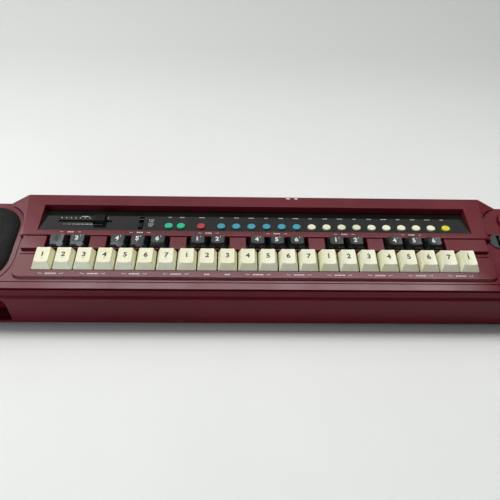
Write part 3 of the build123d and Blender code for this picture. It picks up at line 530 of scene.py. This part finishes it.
def grille_mesh():
    """Perforated sheet: a ring of rolled edge and a honeycomb of real holes."""
    bm = bmesh.new()
    pitch = 2.05
    hole_share = 0.66
    edge = 1.6
    points = {}

    def vertex(x, v):
        key = (round(x, 3), round(v, 3))
        if key not in points:
            points[key] = bm.verts.new((x, v, dome(inside_depth(x, v))))
        return points[key]

    row_step = pitch * math.sqrt(3) / 2
    corner = pitch / math.sqrt(3)
    rows = int(GRILLE_DEPTH / row_step / 2) + 1
    columns = int(GRILLE_WIDTH / pitch / 2) + 2
    for row in range(-rows, rows + 1):
        for column in range(-columns, columns + 1):
            x = (column + (row % 2) / 2) * pitch
            v = row * row_step
            if inside_depth(x, v) < edge:
                continue
            angles = [math.pi / 6 + i * math.pi / 3 for i in range(6)]
            outer = [vertex(x + corner * math.cos(a), v + corner * math.sin(a)) for a in angles]
            inner = []
            for a in angles:
                px = x + hole_share * corner * math.cos(a)
                pv = v + hole_share * corner * math.sin(a)
                inner.append(bm.verts.new((px, pv, dome(inside_depth(px, pv)))))
            bridge(bm, outer, inner)
    # Upright foot, then a rolled edge that laps over the first holes.
    insets = (0.35, 0.8, 1.4, 2.1)
    rolled = [(inset, dome(inset) + 0.05) for inset in insets]
    add_rings(bm, [(0.0, 0.0), (0.0, 1.2)] + rolled, around=160)
    bm.normal_update()
    return finish_mesh(bm, "grille_sheet", bed_frame(GRILLE_X, GRILLE_V, DECK_W))


def cloth_mesh():
    """Smooth backing a little under the perforated sheet."""
    gap = 0.9
    insets = (1.2, 1.8, 2.6, 4.0, 6.0, 9.0, 13.0, 18.0, 24.0)
    bm = bmesh.new()
    profile = [(inset, max(0.05, dome(inset) - gap)) for inset in insets]
    bm.faces.new(add_rings(bm, profile, around=96))
    for face in bm.faces:
        face.smooth = True
    bm.normal_update()
    return finish_mesh(bm, "grille_cloth", bed_frame(GRILLE_X, GRILLE_V, DECK_W))


def build_grille(metal, cloth):
    """Perforated sheet in place of the plain CAD one, with the cloth behind it."""
    sheet_thickness = 0.35
    sheet = add_piece("grille_sheet", grille_mesh(), "case", metal)
    solid = sheet.modifiers.new("thickness", "SOLIDIFY")
    solid.thickness = sheet_thickness * MM
    solid.offset = -1.0
    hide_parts("speaker_grille")
    add_piece("grille_cloth", cloth_mesh(), "case", cloth)


# ---------------------------------------------------------------- CAD finishes
def dress(nodes, material):
    """Give CAD nodes a finished material."""
    for node in nodes:
        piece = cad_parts[node]
        piece.data.materials.clear()
        piece.data.materials.append(material)


def soften_normals():
    """Shade curved CAD faces smoothly and keep their creases."""
    crease = math.radians(32)
    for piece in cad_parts.values():
        piece.data.shade_smooth()
        piece.data.set_sharp_from_angle(angle=crease)


def dress_cad():
    """Finishes of the nodes that stay as the CAD made them."""
    upper = maroon_plastic("maroon_upper", (0.125, 0.0085, 0.0165), specular=0.32)
    # Painted shade: the lower case and battery door take the same maroon as the upper case, only
    # darker and less glossy, for the front wall that faces away from the light.
    lower = maroon_plastic("maroon_lower_painted_shade", (0.100, 0.0060, 0.0120), specular=0.15)
    dress(("upper_case", "tuning_knob"), upper)
    dress(("lower_case", "battery_door"), lower)
    dress(("control_panel",), panel_plastic())
    cream = key_plastic("cream_caps", (0.80, 0.79, 0.60), (0.76, 0.745, 0.50), (0.22, 0.36))
    black = key_plastic("black_caps", (0.006, 0.0075, 0.008), (0.010, 0.012, 0.013), (0.12, 0.24))
    dress([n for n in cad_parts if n.startswith("white_key_")], cream)
    dress([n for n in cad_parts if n.startswith("black_key_")], black)
    buttons = {
        "green_buttons": (0.015, 0.46, 0.24),
        "red_button": (0.43, 0.030, 0.036),
        "blue_buttons": (0.045, 0.29, 0.38),
        "cream_buttons": (0.80, 0.79, 0.60),
        "yellow_button": (0.72, 0.66, 0.035),
    }
    for node, colour in buttons.items():
        dress((node,), moulded(node + "_plastic", colour, (0.30, 0.45)).material)
    control = moulded("black_control", (0.004, 0.004, 0.004), (0.35, 0.5), 1200.0, 0.00004)
    control.shader.inputs["Specular IOR Level"].default_value = 0.2
    dress(("volume_slider", "power_switch", "jack_sockets", "key_chassis"), control.material)
    dress(("strum_bar",), moulded("black_bar", (0.008, 0.008, 0.008), (0.2, 0.32)).material)
    dress(("strum_pad",), rubber("strum_rubber", (0.045, 0.050, 0.044), 1500.0, 0.0003))
    dress(("rubber_feet",), rubber("foot_rubber", (0.018, 0.018, 0.018), 2500.0, 0.0001))
    dress(("rubber_domes",), rubber("pad_rubber", (0.30, 0.30, 0.29), 2500.0, 0.0001))
    dress(("case_screws", "speaker_frame"), steel("plated_steel"))
    dress(("speaker_cone",), rubber("cone_paper", (0.035, 0.033, 0.030), 3000.0, 0.0001))
    board = moulded("board_laminate", (0.30, 0.19, 0.06), (0.4, 0.6))
    dress(("circuit_board",), board.material)


# ---------------------------------------------------------------- stage, light and camera
def stage_material():
    """Pale paper with painted shade: a little greyer where it rises at the back."""
    g = Graph("paper_backdrop")
    table = g.mix(g.ramp(g.noise(6.0), 0.3, 0.7), (0.82, 0.83, 0.81), (0.85, 0.86, 0.84))
    split = g.tree.nodes.new("ShaderNodeSeparateXYZ")
    g.link(g.place, split.inputs["Vector"])
    # Painted shade: the paper's colour runs to a darker grey up the rising back.
    g.colour(g.mix(g.ramp(split.outputs["Y"], 0.05, 0.6), table, (0.60, 0.61, 0.595)))
    g.shader.inputs["Roughness"].default_value = 0.8
    return g.material


def build_stage():
    """Pale table that sweeps up into the backdrop."""
    bm = bmesh.new()
    front, back, rise, bend, half_width = -4.0, 0.85, 2.4, 0.40, 4.0
    steps = 12
    profile = [(front, 0.0), (back - bend, 0.0)]
    for i in range(1, steps + 1):
        angle = i / steps * math.pi / 2
        profile.append((back - bend + bend * math.sin(angle), bend - bend * math.cos(angle)))
    profile.append((back, rise))
    rows = [[bm.verts.new((x, y, z)) for x in (-half_width, half_width)] for y, z in profile]
    for low, high in zip(rows, rows[1:]):
        face = bm.faces.new((low[0], low[1], high[1], high[0]))
        face.smooth = True
    mesh = bpy.data.meshes.new("backdrop")
    bm.to_mesh(mesh)
    bm.free()
    mesh.materials.append(stage_material())
    backdrop = bpy.data.objects.new("backdrop", mesh)
    bpy.context.scene.collection.objects.link(backdrop)


def area_light(name, place, target, size, power, colour=(1, 1, 1)):
    """Rectangular soft light at a place, aimed at a target; metres and watts."""
    data = bpy.data.lights.new(name, "AREA")
    data.shape = "RECTANGLE"
    data.size, data.size_y = size
    data.energy = power
    data.color = colour
    lamp = bpy.data.objects.new(name, data)
    lamp.location = place
    lamp.rotation_euler = (Vector(target) - Vector(place)).to_track_quat("-Z", "Y").to_euler()
    bpy.context.scene.collection.objects.link(lamp)


def build_lights():
    """Ceiling panel, window at the left, and two faint sources behind the viewer."""
    world = bpy.data.worlds.new("soft_room")
    world.use_nodes = True
    room = world.node_tree.nodes["Background"]
    room.inputs["Color"].default_value = (0.95, 0.97, 1.0, 1.0)
    room.inputs["Strength"].default_value = 0.12
    bpy.context.scene.world = world
    table = (-0.2, 0, 0.05)
    area_light("ceiling", (0.1, 0.50, 2.0), (0.1, 0.10, 0), (2.2, 0.6), 28.0)
    area_light("window", (-1.35, 0.40, 1.25), table, (1.0, 1.0), 13.0, (1.0, 0.985, 0.97))
    area_light("front_bounce", (-0.58, -0.85, 0.10), table, (0.60, 0.22), 2.6, (0.80, 0.90, 1.0))
    area_light("doorway", (-0.95, -1.00, 1.10), table, (0.9, 0.10), 0.9, (0.95, 0.97, 1.0))


def build_camera():
    """Standard phone lens, a little left of the middle, tipped down at the keys."""
    pitch, yaw, roll = (math.radians(a) for a in (41.43, 2.15, 1.90))
    place = Vector((-0.02077, -0.36992, 0.37825))
    ahead = Vector((math.sin(yaw), math.cos(yaw), 0))
    forward = ahead * math.cos(pitch) - Vector((0, 0, math.sin(pitch)))
    level = Vector((math.cos(yaw), -math.sin(yaw), 0))
    above = level.cross(forward)
    right = level * math.cos(roll) + above * math.sin(roll)
    up = above * math.cos(roll) - level * math.sin(roll)
    data = bpy.data.cameras.new("view")
    data.lens = 36.0
    data.sensor_width = 36.0
    data.clip_start = 0.01
    camera = bpy.data.objects.new("view", data)
    columns = Matrix((right, up, -forward)).transposed()
    camera.matrix_world = Matrix.Translation(place) @ columns.to_4x4()
    bpy.context.scene.collection.objects.link(camera)
    bpy.context.scene.camera = camera


build_camera()
build_lights()
build_stage()
soften_normals()
dress_cad()
white_ink = printed_ink("white_ink", (0.80, 0.80, 0.76), (0.42, 0.38, 0.36))
dark_ink = printed_ink("dark_ink", (0.014, 0.014, 0.012), (0.06, 0.06, 0.05))
light_key_legends(dark_ink)
dark_key_legends(white_ink)
bed_legends(white_ink)
panel_legends(white_ink)
edge_chips(white_ink)
build_grille(mesh_metal(), speaker_cloth())
bpy.context.scene.view_settings.view_transform = "Standard"
